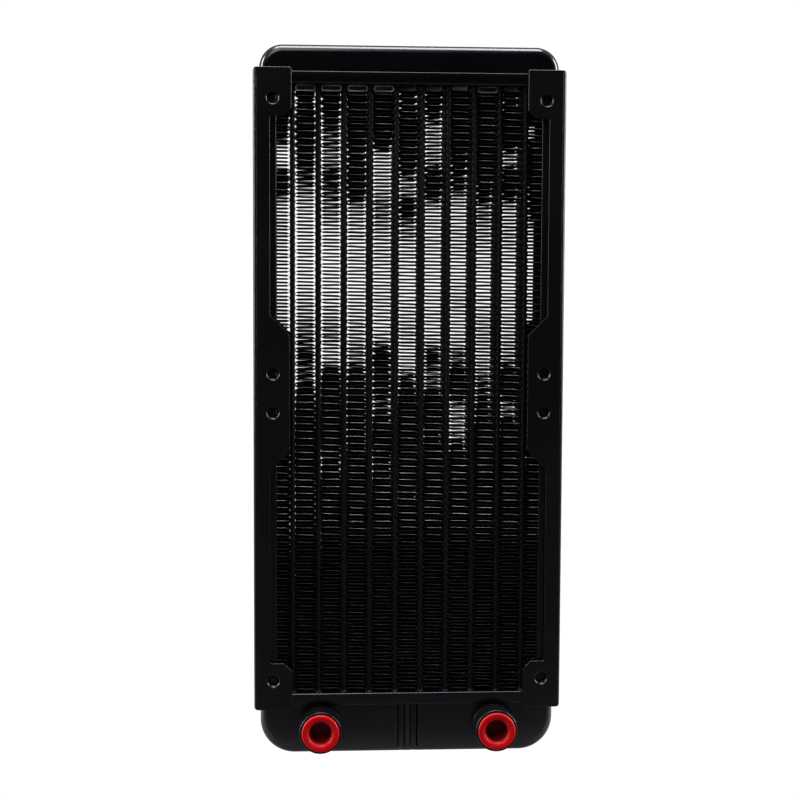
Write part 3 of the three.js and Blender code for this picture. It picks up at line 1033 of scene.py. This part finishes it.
def build_bosses():
    for name, _ in SIDES:
        node = f"port_boss_{name}"
        low, high = box_mm(node)
        centre = port_centre(name)
        length, back = centre[1] - low.y, centre[1] - high.y
        bm = bmesh.new()
        rings = [turned_ring(bm, centre, radius, distance) for radius, distance in boss_outside(back, length)]
        end, start = back + THREAD_MARGINS[0], length - THREAD_MARGINS[1]
        turns = int((start - end) / THREAD_PITCH * THREAD_RINGS)
        for k in range(turns + 1):
            distance = start - (start - end) * k / turns
            fade = smooth_step(0, THREAD_FADE, start - distance) * smooth_step(0, THREAD_FADE, distance - end)
            rings.append(thread_ring(bm, centre, distance, fade))
        bridge(bm, [*rings, rings[0]])
        piece_from(bm, f"threaded_boss_{name}", BOSS_PAINT, replaces=[node])


def thread_ring(bm, centre, distance, fade):
    """One ring of the helical thread inside a boss."""
    ring = []
    for k in range(TURNED_SEGMENTS):
        angle = math.tau * k / TURNED_SEGMENTS
        phase = (distance / THREAD_PITCH + k / TURNED_SEGMENTS) % 1.0
        groove = THREAD_DEPTH * smooth_step(0.08, 0.46, min(phase, 1 - phase)) * fade
        radius = BOSS_BORE + groove
        x, z = centre[0] + radius * math.cos(angle), centre[2] + radius * math.sin(angle)
        ring.append(bm.verts.new(mm(x, centre[1] - distance, z)))
    return ring


def plug_profile(front, tip):
    """(radius, distance) from the plug's closed tip over its ribs and flange, and into its hollow."""
    stem, rib_radius = PLUG_STEM, PLUG_RIB
    seat = front - PLUG_FLANGE
    profile = [(0.0, tip), (4.7, tip), (5.0, tip + 0.12), (stem, tip + 0.5)]
    for k in range(PLUG_RIBS):
        rib = tip + 1.2 + PLUG_RIB_STEP * k
        profile += [(stem, rib), (rib_radius, rib + 0.35), (rib_radius, rib + 0.6), (stem, rib + 0.8)]
    profile += [(stem, seat - 0.5), (5.45, seat - 0.1), (5.6, seat), (7.05, seat), (7.2, seat + 0.07)]
    centre, soft = PLUG_LIP
    for step in range(7):
        turn = math.radians(15 * step)
        profile.append((centre + soft * math.cos(turn), front - soft + soft * math.sin(turn)))
    profile += [(radius, front - depth) for radius, depth in PLUG_MOUTH]
    profile += [(3.9, tip + 1.3), (3.75, tip + 0.95), (3.4, tip + 0.85), (0.0, tip + 0.85)]
    return profile


def build_plugs():
    for name, _ in SIDES:
        node = f"port_plug_{name}"
        low, high = box_mm(node)
        centre = port_centre(name)
        bm = bmesh.new()
        lathe(bm, plug_profile(centre[1] - low.y, centre[1] - high.y), centre)
        piece_from(bm, f"dust_plug_{name}", RED, f"plug_{name}", [node], sharp=50)


# ---- Studio ----

LAVENDER = (0.90, 0.88, 1.0)
COOL_WHITE = (0.93, 0.92, 1.0, 1.0)
WHITE = (1.0, 1.0, 1.0)
PAPER = 1.05  # brightness of the paper as the camera sees it
AIM = (0, 0, 0.14)  # where the softboxes point
CAMERA_PLACE = (-0.04366, -0.6335, 0.18707)
CAMERA_TURN = (-3.70, -4.388, -0.247)  # yaw, pitch and roll, in degrees
CAMERA_LENS = 72.6
CAMERA_SENSOR = 36
FLOOR_SIZE = 6
FLOOR_REACH = (-0.2, 0.4)  # the part of the floor that FLOOR_GLOW covers, along Y
GLOW_BESIDE = (0.048, 0.09)  # the glow grows from 0.3 to full over this distance from the middle
FLOOR_GLOW = (  # from front to back: place along the way, and level
    (0.0, 0.02),
    (0.17, 0.055),
    (0.2, 0.09),
    (0.25, 0.2),
    (0.275, 0.45),
    (0.3, 1.2),
    (0.38, 1.3),
    (0.6, 0.4),
    (1.0, 0.12),
)
ROOM_GLOW = (  # the same for the room, from the direction -Y to the direction +Y
    (0.0, 0.006),
    (0.15, 0.03),
    (0.33, 0.28),
    (0.5, 0.7),
    (0.66, 0.85),
    (0.85, 0.4),
    (1.0, 0.3),
)


def grey_curve(tree, source, start, end, stops):
    """Maps a coordinate from start..end onto the grey levels of (place, level) stops."""
    spread = tree.nodes.new("ShaderNodeMapRange")
    spread.inputs["From Min"].default_value = start
    spread.inputs["From Max"].default_value = end
    tree.links.new(source, spread.inputs["Value"])
    ramp = tree.nodes.new("ShaderNodeValToRGB")
    ramp.color_ramp.interpolation = "EASE"
    elements = ramp.color_ramp.elements
    while len(elements) < len(stops):
        elements.new(0.5)
    for element, (place, level) in zip(elements, stops):
        element.position = place
        element.color = (level, level, level, 1.0)
    tree.links.new(spread.outputs["Result"], ramp.inputs["Fac"])
    return ramp.outputs["Color"]


def build_floor():
    """A white floor that the camera sees as even paper; it reflects little light, but glows behind and beside
    the radiator and so lights it from below.
    """
    bm = bmesh.new()
    bmesh.ops.create_grid(bm, x_segments=1, y_segments=1, size=FLOOR_SIZE)
    floor = helper_from(bm, "floor")
    look = Look("floor_white")
    look.set(Base_Color=(0.04, 0.04, 0.043, 1.0), Roughness=0.9, Specular_IOR_Level=0.0)
    split = look.node("ShaderNodeSeparateXYZ")
    look.link(look.coordinates, split.inputs["Vector"])
    glow = grey_curve(look.tree, split.outputs["Y"], *FLOOR_REACH, FLOOR_GLOW)
    beside = look.spread(look.math("ABSOLUTE", split.outputs["X"], 0.0), 0.3, 1.0, *GLOW_BESIDE)
    look.set(Emission_Strength=look.math("MULTIPLY", glow, beside), Emission_Color=COOL_WHITE)
    paper = look.node("ShaderNodeEmission")
    paper.inputs["Strength"].default_value = PAPER
    mix = look.node("ShaderNodeMixShader")
    look.link(look.node("ShaderNodeLightPath").outputs["Is Camera Ray"], mix.inputs[0])
    look.link(look.shader.outputs["BSDF"], mix.inputs[1])
    look.link(paper.outputs["Emission"], mix.inputs[2])
    look.link(mix.outputs["Shader"], look.tree.nodes["Material Output"].inputs["Surface"])
    floor.data.materials.append(look.material)


def softbox(name, place, width, height, power, tint=WHITE):
    light = bpy.data.lights.new(name, "AREA")
    light.shape = "RECTANGLE"
    light.size, light.size_y = width, height
    light.energy = power
    light.color = tint
    lamp = bpy.data.objects.new(name, light)
    bpy.context.scene.collection.objects.link(lamp)
    lamp.location = place
    lamp.rotation_euler = (Vector(AIM) - Vector(place)).to_track_quat("-Z", "Y").to_euler()
    lamp.visible_camera = False


def build_light():
    """White paper behind the radiator, a dark room in front of it, and softboxes above and beside."""
    world = bpy.data.worlds.new("studio")
    bpy.context.scene.world = world
    world.use_nodes = True
    nodes, links = world.node_tree.nodes, world.node_tree.links
    nodes.clear()
    place = nodes.new("ShaderNodeTexCoord")
    split = nodes.new("ShaderNodeSeparateXYZ")
    around = nodes.new("ShaderNodeBackground")
    around.inputs["Color"].default_value = COOL_WHITE
    white = nodes.new("ShaderNodeBackground")
    white.inputs["Strength"].default_value = PAPER
    white.inputs["Color"].default_value = (*WHITE, 1.0)
    seen = nodes.new("ShaderNodeLightPath")
    mix = nodes.new("ShaderNodeMixShader")
    out = nodes.new("ShaderNodeOutputWorld")
    links.new(place.outputs["Generated"], split.inputs["Vector"])
    level = grey_curve(world.node_tree, split.outputs["Y"], -1.0, 1.0, ROOM_GLOW)
    links.new(level, around.inputs["Strength"])
    links.new(seen.outputs["Is Camera Ray"], mix.inputs["Fac"])
    links.new(around.outputs["Background"], mix.inputs[1])
    links.new(white.outputs["Background"], mix.inputs[2])
    links.new(mix.outputs["Shader"], out.inputs["Surface"])
    softbox("top_light", (0, -0.1, 1.25), 0.8, 0.5, power=23, tint=LAVENDER)
    softbox("front_light", (-0.3, -0.75, 1.0), 0.6, 0.6, power=4.5)
    softbox("left_light", (-1.05, -0.08, 0.5), 0.3, 0.8, power=18)
    softbox("right_light", (1.05, -0.08, 0.5), 0.3, 0.8, power=18)


def build_camera():
    """Almost square on, from a little left of the middle and above it."""
    data = bpy.data.cameras.new("camera")
    data.sensor_width = CAMERA_SENSOR
    data.lens = CAMERA_LENS
    camera = bpy.data.objects.new("camera", data)
    bpy.context.scene.collection.objects.link(camera)
    yaw, pitch, roll = (math.radians(angle) for angle in CAMERA_TURN)
    turned = Matrix.Rotation(yaw, 4, "Z") @ Matrix.Rotation(pitch, 4, "X") @ Matrix.Rotation(roll, 4, "Y")
    upright = Matrix.Rotation(math.radians(90), 4, "X")
    camera.matrix_world = Matrix.Translation(CAMERA_PLACE) @ turned @ upright
    bpy.context.scene.camera = camera


build_tubes()
build_fins()
build_side_plates()
build_headers()
build_tanks()
build_rails()
build_bosses()
build_plugs()
build_floor()
build_light()
build_camera()
bpy.context.scene.view_settings.view_transform = "Standard"
